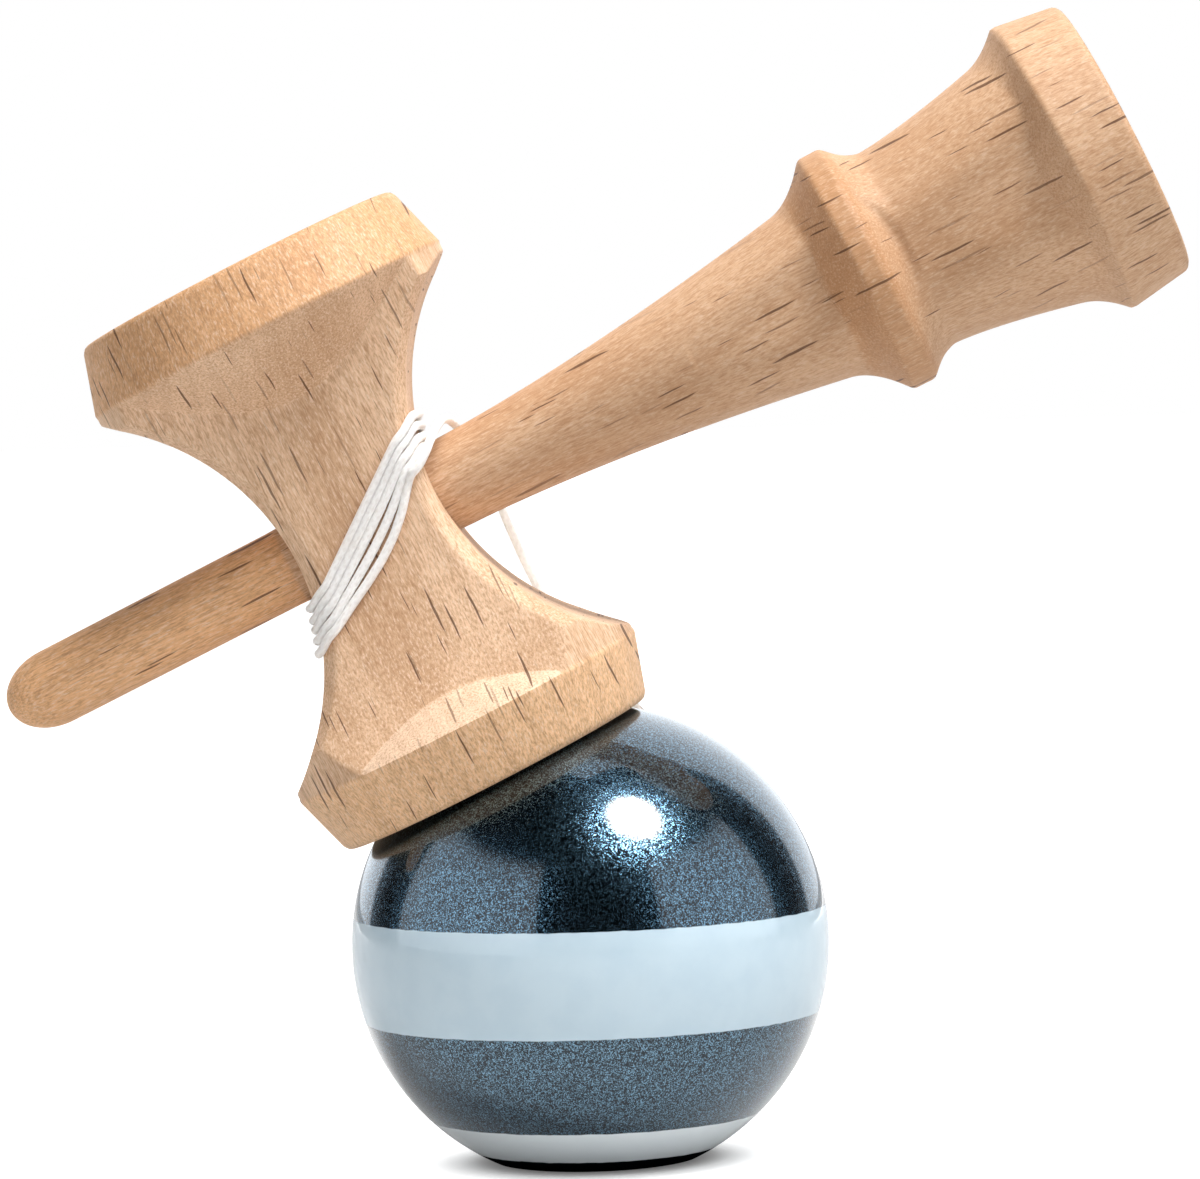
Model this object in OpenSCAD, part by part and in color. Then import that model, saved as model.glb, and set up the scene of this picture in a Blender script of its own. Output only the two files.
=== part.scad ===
// Kendama standing on its ball: a handle with a spike and a base cup, a two-cup spool across it, a lacquered
// ball with a spike hole, a swivel bead inside the ball, and one string wound round the crossing of handle
// and spool.
// Millimetres. The origin is the ball's centre and Z runs up the ball's bore.

/* [Ball] */
// Diameter of the ball
ball_d = 60; // [54:1:72]
// Depth of the flat foot below the ball's centre
foot_h = 27.3; // [26:0.1:27.8]
// Diameter of the spike hole
spike_hole_d = 21; // [14:0.5:21.5]
// Height of the spike hole's roof above the ball's centre
spike_hole_top = 5; // [0:0.5:6]
// Width of the bevel round the spike hole's mouth
spike_hole_bevel = 0.8; // [0.2:0.1:0.8]
// Diameter of the bead chamber above the spike hole
chamber_d = 9.2; // [8.4:0.1:12]
// Height of the bead chamber
chamber_h = 13; // [12:0.5:18]
// Diameter of the string hole at the top of the ball
top_hole_d = 3.4; // [2:0.1:5]
// Width of the countersink round the string hole
top_hole_bevel = 0.9; // [0.2:0.1:1.5]

/* [Spool] */
// Lean of the spool's axis from upright, in degrees
tilt = 25.4; // [15:0.1:30]
// Width of the waist along the handle
waist_w = 19.2; // [17:0.1:24]
// Thickness of the waist from front to back
waist_t = 22; // [18:0.1:26]
// Radius of the arcs that draw in both sides of the waist
flare_r = 31.2; // [29:0.1:34]
// Distance from the handle's axis to the big cup's mouth
big_h = 36; // [34:0.1:40]
// Distance from the handle's axis to the small cup's mouth
small_h = 35.1; // [33.5:0.1:40]
// Largest diameter of the big cup's rim
big_rim_d = 48.6; // [46:0.1:52]
// Largest diameter of the small cup's rim
small_rim_d = 47.4; // [45:0.1:50]
// Outer diameter of the big cup's mouth
big_mouth_d = 43.8; // [40:0.1:46]
// Outer diameter of the small cup's mouth
small_mouth_d = 42.6; // [42:0.1:45]
// Height of the big cup's rim band
big_band = 8.5; // [6:0.1:10]
// Height of the small cup's rim band
small_band = 8.3; // [6:0.1:10]
// Width of the big cup's lip
big_lip = 1.7; // [1:0.1:4]
// Width of the small cup's lip
small_lip = 1.3; // [1:0.1:1.6]
// Depth of the big cup's dish
big_dish = 11; // [9:0.1:13]
// Depth of the small cup's dish
small_dish = 12; // [11.5:0.1:13]
// Angle of the shoulders behind the rims, from the spool's axis
shoulder_angle = 52; // [48:1:56]
// Thickness of the body from front to back where it meets the big cup's rim
big_front_t = 27; // [24:0.1:32]
// Thickness of the body from front to back where it meets the small cup's rim
small_front_t = 39.6; // [34:0.1:42]
// Depth of the cut along the four edges of the body
edge_cut = 1.2; // [0.3:0.1:1.5]
// Chamfer round the outside of the cups' mouths
mouth_chamfer = 0.5; // [0.1:0.1:0.8]

/* [Handle] */
// Length from the spool's axis to the spike's tip
spike_len = 50.9; // [45:0.1:60]
// Diameter of the spike
spike_d = 9.7; // [8.5:0.1:9.8]
// Length of the spike's rounded end
tip_len = 6.6; // [4:0.1:10]
// Diameter of the taper where it enters the spool
taper_small_d = 9.9; // [9.8:0.1:10.6]
// Diameter of the taper where it leaves the spool
taper_big_d = 11.6; // [10.8:0.1:12.4]
// Distance from the spool's axis to the ring
ring_at = 68.7; // [60:0.1:80]
// Width of the ring's crest
ring_w = 3; // [2:0.1:5]
// Diameter of the ring
ring_d = 32.2; // [30:0.1:36]
// Diameter of the shaft at the ring
shaft_d = 23.4; // [20:0.1:25]
// Diameter of the neck behind the ring
neck_d = 26.7; // [25:0.1:28]
// Diameter of the neck at the base cup's rim
neck_end_d = 34; // [31:0.1:35]
// Distance from the spool's axis to the base cup's mouth
base_at = 106.3; // [98:0.1:116]
// Largest diameter of the base cup's rim
base_rim_d = 39.3; // [37:0.1:42]
// Outer diameter of the base cup's mouth
base_mouth_d = 37; // [35:0.1:39]
// Height of the base cup's rim band
base_band = 8.5; // [6:0.1:11]
// Width of the base cup's lip
base_lip = 1.6; // [1:0.1:3]
// Depth of the base cup's dish
base_dish = 9; // [6:0.1:11]
// Depth of the flats on the front and back of shaft and neck
flat_depth = 0.5; // [0.3:0.1:1.5]

/* [String] */
// Diameter of the string
string_d = 1; // [0.8:0.1:1.3]
// Turns of the winding round the crossing
wind_turns = 3; // [1:1:3]
// Step of the winding from turn to turn, along the spool's axis
wind_step = 2.53; // [2.52:0.01:2.58]
// Rise of the winding across the front, for each unit of width
wind_rise = 0.97; // [0.96:0.01:1]
// Diameter of the swivel bead
bead_d = 7.6; // [6:0.1:8]
// Diameter of the knots
knot_d = 3.4; // [2.6:0.1:3.8]

/* [Hidden] */
$fn = 96;
overrun = 2;

// Clearances and small sizes
fit_gap = 0.06;
taper_past = 2.5;
string_gap = 0.25;
string_hole_gap = 0.3;
bead_gap = 0.3;
seat_gap = 0.3;
bead_hole_d = 2;
pocket_d = 4.6;
pocket_h = 3.6;
wind_sides = 6;
lead_sides = 8;
steps = 16;

// Ball
ball_r = ball_d / 2;
foot_r = sqrt(ball_r * ball_r - foot_h * foot_h);
chamber_top = spike_hole_top + chamber_h;
bead_z = chamber_top - bead_gap - bead_d / 2;
bead_knot_z = bead_z - bead_d / 2 - knot_d / 2;

// Seat of the small cup on the ball: the string passes under the lip at the back, so the spool sits a little
// off the line through the ball's centre
small_lip_r = small_mouth_d / 2 - small_lip;
seat_side = -0.8;
seat_back = 1.85;
seat_h = sqrt(pow(ball_r + seat_gap, 2) - pow(small_lip_r - seat_back, 2));
seat_shift = [seat_side, seat_back, small_h + seat_h];

// Outline of the spool's body, at a height c along its axis
rim_big_c = big_h - big_band;
rim_small_c = small_h - small_band;
function sq(x) = x * x;
function arc_r(rise, run) = (sq(rise) + sq(run)) / (2 * rise);
function body_w(c) = waist_w / 2 + flare_r - sqrt(sq(flare_r) - sq(c));
function front_r(c) = c > 0 ? arc_r((big_front_t - waist_t) / 2, rim_big_c)
                            : arc_r((small_front_t - waist_t) / 2, rim_small_c);
function body_n(c) = waist_t / 2 + front_r(c) - sqrt(sq(front_r(c)) - sq(c));
function rim_r(c) = (c > 0 ? big_rim_d : small_rim_d) / 2;
function body_r(c) = min(rim_r(c) - fit_gap, norm([body_w(c), body_n(c)]) - edge_cut);

// Handle outline: a curve that starts straight and steepens, from [at, radius] to [at, radius]
shaft_curve_share = 1.6;
cove_curve_share = 1.5;
cove_run_share = 1.56;
neck_curve_share = 1.4;
function swell(a, b, power) = [for (i = [0:steps]) let (s = i / steps)
    [a[1] + (b[1] - a[1]) * pow(s, power), a[0] + (b[0] - a[0]) * s]];
function cove(a, b, power) = [for (i = [0:steps / 2 - 1]) let (s = 2 * i / steps)
    [b[1] + (a[1] - b[1]) * pow(1 - s, power), a[0] + (b[0] - a[0]) * s]];
taper_len = waist_w / 2 + taper_past;
shoulder_rise = tan(shoulder_angle);
ring_foot = ring_at - (ring_d - shaft_d) / 2 / shoulder_rise;
ring_end = ring_at + ring_w;
neck_foot = ring_end + (ring_d - neck_d) / 2 * cove_run_share;
base_edge = base_at - base_band;
neck_end = base_edge - (base_rim_d - neck_end_d) / 2 / shoulder_rise;

// Winding: the corners of the body's section at height c, each passed with three short steps
wind_steps = 24;
corner_steps = 3;
string_r = string_d / 2;
wind_off = string_r + string_gap;
function flat_k(c) = sqrt(sq(body_r(c)) - sq(body_n(c)));
function side_n(c) = sqrt(sq(body_r(c)) - sq(body_w(c)));
wind_hole_k = -4.2;
wind_top = -wind_rise * wind_hole_k;
function wind_corner(j) = floor(j / corner_steps) % 8;
function wind_side(v) = v < 4 ? -1 : 1;
function wind_back(v) = v < 2 || v > 5 ? 1 : -1;
function wind_flat(v) = v == 0 || v == 3 || v == 4 || v == 7;
function wind_c(j, v) = wind_top - wind_step * j / wind_steps
    + wind_rise * wind_side(v) * (wind_flat(v) ? flat_k(0) : body_w(0));
function wind_point(j) = let (v = wind_corner(j), c = wind_c(j, v),
    a = 90 + 45 * v + 22.5 * (j % corner_steps))
    [wind_side(v) * (wind_flat(v) ? flat_k(c) : body_w(c)) + wind_off * cos(a),
     wind_back(v) * (wind_flat(v) ? body_n(c) : side_n(c)) + wind_off * sin(a), c];
wind_last = wind_steps * wind_turns + wind_steps / 2;
wind_start = [wind_hole_k, waist_t / 2, 0];
wind_path = concat([wind_start, wind_start + [0, string_d, 0]], [for (j = [0:wind_last]) wind_point(j)]);
wind_end = wind_path[len(wind_path) - 1];
wind_way = unit(wind_end - wind_path[len(wind_path) - 2]);

// Free stretch of the string, in the spool's own axes: along the handle, to the back, along the spool
lead_points = [
    [9.8, -11.6, 4.3], [11.4, -10.9, 5.4], [12.6, -9.2, 6.4], [13.6, -6.4, 7.2], [14.3, -2.8, 7.6],
    [14.9, 1, 7.4], [15.3, 4.4, 6.3], [15.6, 7.3, 3.4], [15.7, 8.4, 0], [15.5, 9.2, -4.5],
    [15, 11.4, -9], [14.4, 14.4, -13.5],
    [14, 17.4, -18], [14.2, 19.6, -22.5], [15, 20.4, -26.5], [16, 19.7, -29.5], [17.2, 18.3, -32.4],
    [18, 16.6, -35.2], [18.3, 14.6, -37], [17.8, 12.2, -37.2], [17.1, 10.3, -36], [16.8, 8, -34.5],
    [16.4, 5.6, -33.1], [16, 3.4, -31.9], [15.7, 1.5, -31], [15.4, 0.1, -30.4], [15, -0.9, -30.2],
    [14.6, -1.6, -30.5]];
top_string_z = ball_r + string_gap;
function to_spool(p) = [cos(tilt) * p[0] + sin(tilt) * p[2], p[1], cos(tilt) * p[2] - sin(tilt) * p[0]]
    - seat_shift;
lead_path = concat([wind_end, wind_end + string_d * wind_way], lead_points,
    [to_spool([0, 0, top_string_z + string_d]), to_spool([0, 0, top_string_z])]);

// A tube swept along a path, with square ends
function unit(v) = v / norm(v);
function path_way(p, i) = unit(p[min(i + 1, len(p) - 1)] - p[max(i - 1, 0)]);
function ring_at_point(c, way, up, r, sides) = let (u = unit(cross(way, up)), v = cross(u, way))
    [for (j = [0:sides - 1]) c + r * (cos(360 * j / sides) * u + sin(360 * j / sides) * v)];
module tube(path, r, sides, up) {
    last = (len(path) - 1) * sides;
    points = [for (i = [0:len(path) - 1]) each ring_at_point(path[i], path_way(path, i), up, r, sides)];
    walls = [for (i = [0:len(path) - 2], j = [0:sides - 1]) let (a = i * sides, k = (j + 1) % sides)
        each [[a + j, a + sides + j, a + k], [a + k, a + sides + j, a + sides + k]]];
    ends = [for (j = [1:sides - 2]) each [[0, j, j + 1], [last, last + j + 1, last + j]]];
    polyhedron(points, concat(walls, ends));
}

// Least gap between turns of the winding, measured from each point to the stretches of other turns
function to_stretch(p, a, b) = let (s = max(0, min(1, (p - a) * (b - a) / ((b - a) * (b - a)))))
    norm(a + s * (b - a) - p);
wind_gap = min([for (i = [0:len(wind_path) - 1], j = [i + wind_steps / 2:1:len(wind_path) - 2])
    to_stretch(wind_path[i], wind_path[j], wind_path[j + 1])]) - string_d;
echo(least_gap_of_winding = wind_gap);

// Places the spool's own axes over the ball
module on_ball() {
    rotate([0, -tilt, 0])
        translate(seat_shift)
            children();
}

// A turned piece along the handle, from points of [radius, place]
module turned(points) {
    rotate([0, 90, 0])
        rotate_extrude()
            polygon(points);
}

// A dish with its mouth in the plane z = 0
module dish(mouth_r, depth) {
    dish_r = arc_r(depth, mouth_r);
    translate([0, 0, dish_r - depth])
        sphere(dish_r);
}

module tama() {
    color("#2b3344")
        difference() {
            sphere(ball_r, $fn = 180);
            translate([0, 0, -foot_h - ball_r])
                cube(2 * ball_r, center = true);
            translate([0, 0, -ball_r - overrun])
                cylinder(r = spike_hole_d / 2, h = ball_r + overrun + spike_hole_top);
            translate([0, 0, -foot_h - overrun])
                cylinder(r1 = spike_hole_d / 2 + spike_hole_bevel + overrun, r2 = spike_hole_d / 2,
                         h = spike_hole_bevel + overrun);
            translate([0, 0, spike_hole_top - overrun])
                cylinder(r = chamber_d / 2, h = chamber_h + overrun);
            cylinder(r = top_hole_d / 2, h = ball_r + overrun);
            translate([0, 0, ball_r - top_hole_bevel])
                cylinder(r1 = top_hole_d / 2, r2 = top_hole_d / 2 + top_hole_bevel + overrun,
                         h = top_hole_bevel + overrun);
        }
}

// Handle without its ring and rim, narrowed by flats on its front and back
module ken_core() {
    intersection() {
        turned(concat(
            [for (i = [0:steps]) let (a = 90 * i / steps)
                [spike_d / 2 * sin(a), -spike_len + tip_len * (1 - cos(a))]],
            [[taper_small_d / 2, -taper_len]],
            swell([taper_len, taper_big_d / 2], [ring_foot, shaft_d / 2], shaft_curve_share),
            [[ring_d / 2 - flat_depth, ring_at]],
            cove([ring_end, ring_d / 2 - flat_depth], [neck_foot, neck_d / 2], cove_curve_share),
            swell([neck_foot, neck_d / 2], [neck_end, neck_end_d / 2], neck_curve_share),
            [[base_mouth_d / 2 - base_lip, base_edge],
             [base_mouth_d / 2 - base_lip, base_at - mouth_chamfer],
             [0, base_at - mouth_chamfer]]));
        linear_extrude(2 * base_rim_d, center = true)
            polygon(concat(flat_edge(1), flat_edge(-1)));
    }
}

// Front or back edge of the handle seen from above the spool, side 1 or -1
flat_from_share = 0.7;
flat_ring_share = 1.2;
flat_base_share = 2.4;
function flat_edge(side) = let (from = ring_foot * flat_from_share, n = [
    [-spike_len - overrun, base_rim_d], [from, base_rim_d],
    [from, shaft_d / 2 * flat_from_share + flat_depth],
    [ring_at, shaft_d / 2 - flat_depth * flat_ring_share],
    [neck_foot, neck_d / 2 - flat_depth], [base_edge, neck_end_d / 2 - flat_depth * flat_base_share],
    [base_at + overrun, neck_end_d / 2 - flat_depth * flat_base_share]])
    [for (i = [0:len(n) - 1]) let (p = n[side > 0 ? i : len(n) - 1 - i]) [p[0], side * p[1]]];

module ken() {
    color("#d9ab7c")
        on_ball()
            difference() {
                union() {
                    ken_core();
                    turned([[0, ring_at - ring_d / 2 / shoulder_rise], [ring_d / 2, ring_at],
                            [ring_d / 2, ring_end], [0, ring_end + ring_d / 2 / shoulder_rise]]);
                    turned([[0, base_edge - base_rim_d / 2 / shoulder_rise], [base_rim_d / 2, base_edge],
                            [base_mouth_d / 2, base_at - mouth_chamfer],
                            [base_mouth_d / 2 - mouth_chamfer, base_at], [0, base_at]]);
                }
                translate([base_at, 0, 0])
                    rotate([0, 90, 0])
                        dish(base_mouth_d / 2 - base_lip, base_dish);
                translate([wind_hole_k, 0, 0])
                    rotate([90, 0, 0])
                        cylinder(r = string_r + string_hole_gap, h = spike_d + overrun, center = true);
                translate([wind_hole_k, -spike_d / 2 + pocket_h, 0])
                    rotate([90, 0, 0])
                        cylinder(r = pocket_d / 2, h = pocket_h + overrun);
            }
}

// Rim of one cup, with its shoulder, turned about the spool's axis
module rim(rim_d, mouth_d, height, band) {
    edge = height - band;
    rotate_extrude()
        polygon([[0, edge - rim_d / 2 / shoulder_rise], [rim_d / 2, edge],
                 [mouth_d / 2, height - mouth_chamfer],
                 [mouth_d / 2 - mouth_chamfer, height], [0, height]]);
}

// Body of the spool: drawn in at the sides and at the front and back, with its four edges cut
module spool_body() {
    intersection() {
        rotate([90, 0, 0])
            linear_extrude(big_rim_d, center = true)
                difference() {
                    translate([-big_rim_d / 2, -rim_small_c])
                        square([big_rim_d, rim_big_c + rim_small_c]);
                    for (side = [-1, 1])
                        translate([side * (waist_w / 2 + flare_r), 0])
                            circle(flare_r, $fn = 180);
                }
        rotate([90, 0, 90])
            linear_extrude(big_rim_d, center = true)
                difference() {
                    translate([-big_rim_d / 2, -rim_small_c])
                        square([big_rim_d, rim_big_c + rim_small_c]);
                    for (side = [-1, 1], end = [-1, 1])
                        intersection() {
                            translate([side * (waist_t / 2 + front_r(end)), 0])
                                circle(front_r(end), $fn = 360);
                            translate([-big_rim_d, end > 0 ? 0 : -2 * rim_small_c])
                                square([2 * big_rim_d, 2 * (end > 0 ? rim_big_c : rim_small_c)]);
                        }
                }
        rotate_extrude()
            polygon(concat([[0, -rim_small_c], [0, rim_big_c]],
                [for (i = [steps:-1:-steps]) let (c = i / steps * (i > 0 ? rim_big_c : rim_small_c))
                    [body_r(c), c]]));
    }
}

module sarado() {
    color("#dcb083")
        on_ball()
            difference() {
                union() {
                    spool_body();
                    rim(big_rim_d, big_mouth_d, big_h, big_band);
                    mirror([0, 0, 1])
                        rim(small_rim_d, small_mouth_d, small_h, small_band);
                }
                translate([0, 0, big_h])
                    dish(big_mouth_d / 2 - big_lip, big_dish);
                translate([0, 0, -small_h])
                    mirror([0, 0, 1])
                        dish(small_lip_r, small_dish);
                turned([[0, -taper_len], [taper_small_d / 2 + fit_gap, -taper_len],
                        [taper_big_d / 2 + fit_gap, taper_len], [0, taper_len]]);
                translate([wind_hole_k, 0, 0])
                    rotate([-90, 0, 0])
                        cylinder(r = string_r + string_hole_gap, h = waist_t);
            }
}

module bead() {
    color("#c79a6b")
        translate([0, 0, bead_z])
            difference() {
                sphere(bead_d / 2);
                cylinder(r = bead_hole_d / 2, h = bead_d + overrun, center = true);
            }
}

// A knot, cut flat where its string comes out of it
module knot() {
    intersection() {
        sphere(knot_d / 2);
        translate([0, 0, -string_r])
            cube(knot_d, center = true);
    }
}
knot_top = knot_d / 2 - string_r;

module bead_knot() {
    color("#ece9e4")
        translate([0, 0, bead_knot_z])
            knot();
}

module string_in_tama() {
    color("#ece9e4")
        translate([0, 0, bead_knot_z + knot_top])
            cylinder(r = string_r, h = top_string_z - bead_knot_z - knot_top);
}

module string_lead() {
    color("#ece9e4")
        on_ball()
            tube(lead_path, string_r, lead_sides, [1, 0, 0]);
}

module string_winding() {
    color("#ece9e4")
        on_ball()
            tube(wind_path, string_r, wind_sides, [0, 0, 1]);
}

// The knot sits in its pocket on the handle's front side
ken_knot_n = -spike_d / 2 + pocket_h - knot_d / 2 - fit_gap;

module string_root() {
    color("#ece9e4")
        on_ball()
            translate([wind_hole_k, ken_knot_n + knot_top, 0])
                rotate([-90, 0, 0])
                    cylinder(r = string_r, h = waist_t / 2 - ken_knot_n - knot_top);
}

module ken_knot() {
    color("#ece9e4")
        on_ball()
            translate([wind_hole_k, ken_knot_n, 0])
                rotate([-90, 0, 0])
                    knot();
}

tama();
ken();
sarado();
bead();
bead_knot();
string_in_tama();
string_lead();
string_winding();
string_root();
ken_knot();
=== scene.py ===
import math
from functools import partial

import bmesh
import bpy
import numpy as np
from mathutils import Matrix, Vector


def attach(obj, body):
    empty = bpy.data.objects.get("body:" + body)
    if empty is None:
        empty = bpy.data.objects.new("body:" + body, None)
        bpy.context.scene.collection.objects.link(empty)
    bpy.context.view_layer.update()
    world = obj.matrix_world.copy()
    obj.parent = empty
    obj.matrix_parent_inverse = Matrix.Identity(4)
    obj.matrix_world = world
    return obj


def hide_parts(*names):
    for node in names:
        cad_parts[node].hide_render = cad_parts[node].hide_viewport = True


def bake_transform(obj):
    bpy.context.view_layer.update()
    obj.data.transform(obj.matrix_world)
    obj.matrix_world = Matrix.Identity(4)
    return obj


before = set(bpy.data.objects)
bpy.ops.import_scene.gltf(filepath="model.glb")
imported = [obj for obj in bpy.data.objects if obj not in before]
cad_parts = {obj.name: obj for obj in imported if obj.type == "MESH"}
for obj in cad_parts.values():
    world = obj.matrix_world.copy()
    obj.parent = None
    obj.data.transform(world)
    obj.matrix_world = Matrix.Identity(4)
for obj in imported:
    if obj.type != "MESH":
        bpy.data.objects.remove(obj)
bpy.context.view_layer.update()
print("frame loaded")

# Each piece's dictionary holds what a user would change: millimetres, degrees, and colours as sRGB hex
view = {"focalPixels": 5995, "widthPixels": 1200, "distance": 755, "azimuth": 0.8, "elevation": 5.73,
        "roll": -1.85, "turn": -0.09, "nod": -3.37, "sensor": 36}


def makeCamera():
    az, el = math.radians(view["azimuth"]), math.radians(view["elevation"])
    away = np.array([math.sin(az) * math.cos(el), -math.cos(az) * math.cos(el), math.sin(el)])
    right = np.cross(-away, [0, 0, 1])
    right /= np.linalg.norm(right)
    up = np.cross(right, -away)

    def turnAbout(axis, degrees):
        i, j = [(1, 2), (2, 0), (0, 1)][axis]
        m, a = np.eye(3), math.radians(degrees)
        m[i, i] = m[j, j] = math.cos(a)
        m[i, j], m[j, i] = -math.sin(a), math.sin(a)
        return m

    r = turnAbout(1, view["turn"]) @ turnAbout(0, view["nod"]) @ turnAbout(2, view["roll"])
    r = r @ np.stack([right, -up, -away])
    data = bpy.data.cameras.new("camera")
    data.sensor_fit = "HORIZONTAL"
    data.sensor_width = view["sensor"]
    data.lens = view["sensor"] * view["focalPixels"] / view["widthPixels"]
    data.clip_start, data.clip_end = 0.01, 20
    cam = bpy.data.objects.new("camera", data)
    axes = Matrix([r[0], -r[1], -r[2]]).transposed().to_4x4()
    cam.matrix_world = Matrix.Translation(Vector(away * view["distance"] / 1000)) @ axes
    bpy.context.collection.objects.link(cam)
    bpy.context.scene.camera = cam


makeCamera()
print("camera made")

# The spool leans on the ball. Its own axes run along the handle (k), to the back (n) and along the spool (c)
seat = {"tilt": 25.4, "along": -0.8, "back": 1.85, "up": 59.3625}
tilt = math.radians(seat["tilt"])
tiltCos, tiltSin = math.cos(tilt), math.sin(tilt)
toMetres = Matrix.Scale(0.001, 4)
onSeat = Matrix.Translation((seat["along"], seat["back"], seat["up"]))
onSeat = toMetres @ Matrix.Rotation(-tilt, 4, "Y") @ onSeat


def toWorld(p):
    k, n, c = p[0] + seat["along"], p[1] + seat["back"], p[2] + seat["up"]
    return ((tiltCos * k - tiltSin * c) / 1000, n / 1000, (tiltSin * k + tiltCos * c) / 1000)


def toSpool(p):
    return (tiltCos * p[0] + tiltSin * p[2] - seat["along"], p[1] - seat["back"],
            tiltCos * p[2] - tiltSin * p[0] - seat["up"])


def arcRadius(rise, run):
    return (rise * rise + run * run) / (2 * rise)


def softMin(a, b, width):  # the lesser of two outlines, rounded where they meet
    h = np.maximum(width - np.abs(a - b), 0) / width
    return np.minimum(a, b) - h * h * width / 4


def softMax(a, b, width):
    return -softMin(-a, -b, width)


# Meshes
def addObject(name, mesh):
    obj = bpy.data.objects.new(name, mesh)
    bpy.context.collection.objects.link(obj)
    return obj


def closeAndShade(mesh, sharp):
    bm = bmesh.new()
    bm.from_mesh(mesh)
    bmesh.ops.remove_doubles(bm, verts=bm.verts, dist=1e-7)
    bmesh.ops.recalc_face_normals(bm, faces=bm.faces)
    limit = math.radians(sharp)
    for face in bm.faces:
        face.smooth = True
    for edge in bm.edges:
        edge.smooth = not (edge.is_manifold and edge.calc_face_angle(0) > limit)
    bm.to_mesh(mesh)
    bm.free()


# Turns a line of (radius, height) points on the lathe, in millimetres. One eighth is spun and then repeated,
# which is much faster than a full spin
def turnOnLathe(bm, profile, columns, loop=False):
    old = set(bm.faces)
    points = [bm.verts.new((r, 0, z)) for r, z in profile]
    ends = points[1:] + points[:1] if loop else points[1:]
    lines = [bm.edges.new(pair) for pair in zip(points, ends)]
    spin = partial(bmesh.ops.spin, bm, cent=(0, 0, 0), axis=(0, 0, 1), dvec=(0, 0, 0))
    spin(geom=points + lines, angle=math.pi / 4, steps=columns // 8)
    eighth = [face for face in bm.faces if face not in old]
    spin(geom=eighth, angle=7 * math.pi / 4, steps=7, use_duplicate=True)
    bmesh.ops.remove_doubles(bm, verts=bm.verts, dist=1e-4)  # closes the poles and joins the eighths


# Cuts flats and fillets into a turned blank: each row of points moves to its own radius
def carveBlank(bm, radiusAt):
    rows = {}
    for vert in bm.verts:
        if vert.co.xy.length > 0.5:  # the blank's radius is 1, and a pole stays where it is
            rows.setdefault(round(vert.co.z, 4), []).append(vert)
    for height, row in rows.items():
        angles = np.array([math.atan2(vert.co.y, vert.co.x) for vert in row])
        for vert, a, r in zip(row, angles, radiusAt(height, angles)):
            vert.co.xy = (r * math.cos(a), r * math.sin(a))


def bridgeRim(bm, side):
    rims = [edge for edge in bm.edges if edge.is_boundary and edge.verts[0].co.z * side > 0]
    bmesh.ops.bridge_loops(bm, edges=rims)


def pieceFrom(bm, name, place, sharp=40):
    bmesh.ops.transform(bm, matrix=place, verts=bm.verts)
    mesh = bpy.data.meshes.new(name)
    bm.to_mesh(mesh)
    bm.free()
    closeAndShade(mesh, sharp)
    return addObject(name, mesh)


def turnedPiece(name, profile, columns, place, loop=False, sharp=40):
    bm = bmesh.new()
    turnOnLathe(bm, profile, columns, loop)
    return pieceFrom(bm, name, place, sharp)


def cutAway(obj, cutter):
    modifier = obj.modifiers.new("cut", "BOOLEAN")
    modifier.operation = "DIFFERENCE"
    modifier.solver = "EXACT"
    modifier.object = cutter
    bpy.context.view_layer.update()
    done = bpy.data.meshes.new_from_object(obj.evaluated_get(bpy.context.evaluated_depsgraph_get()))
    obj.modifiers.clear()
    old = obj.data
    obj.data = done
    bpy.data.meshes.remove(old)
    bpy.data.objects.remove(cutter)
    closeAndShade(done, 40)


# Spool's outline at a height c, which the string lies on: half width W along the handle, half thickness N
spool = {"waistW": 19.2, "waistT": 22, "flareR": 31.2, "bigH": 36, "smallH": 35.1, "bigRim": 24.3,
         "smallRim": 23.7, "bigMouth": 21.9, "smallMouth": 21.3, "bigBand": 8.5, "smallBand": 8.3, "bigLip": 1.7,
         "smallLip": 1.3, "bigDish": 11, "smallDish": 12, "shoulder": 52, "smallShoulder": 60, "bigFront": 13.5,
         "smallFront": 19, "edgeCut": 1.2, "chamfer": 0.5, "crease": 0.1, "edgeRound": 0.28, "rimRound": 0.5,
         "columns": 320, "rowStep": 0.28, "boreRoom": 0.1, "boreColumns": 96}
flareReach = 28  # the flare's arc ends here, inside the rims
rimBigC = spool["bigH"] - spool["bigBand"]
rimSmallC = spool["smallH"] - spool["smallBand"]
shoulderRise = math.tan(math.radians(spool["shoulder"]))
smallRise = math.tan(math.radians(spool["smallShoulder"]))


def bodyW(c):
    flare = spool["flareR"]
    return spool["waistW"] / 2 + flare - np.sqrt(flare ** 2 - np.minimum(np.abs(c), flareReach) ** 2)


def bodyN(c):
    big = arcRadius(spool["bigFront"] - spool["waistT"] / 2, rimBigC)
    small = arcRadius(spool["smallFront"] - spool["waistT"] / 2, rimSmallC)
    r = np.where(c > 0, big, small)
    return spool["waistT"] / 2 + r - np.sqrt(r * r - c * c)


def bodyR(c, below=0.06):
    rim = np.where(c > 0, spool["bigRim"], spool["smallRim"])
    return np.minimum(rim - below, np.hypot(bodyW(c), bodyN(c)) - spool["edgeCut"])


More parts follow.
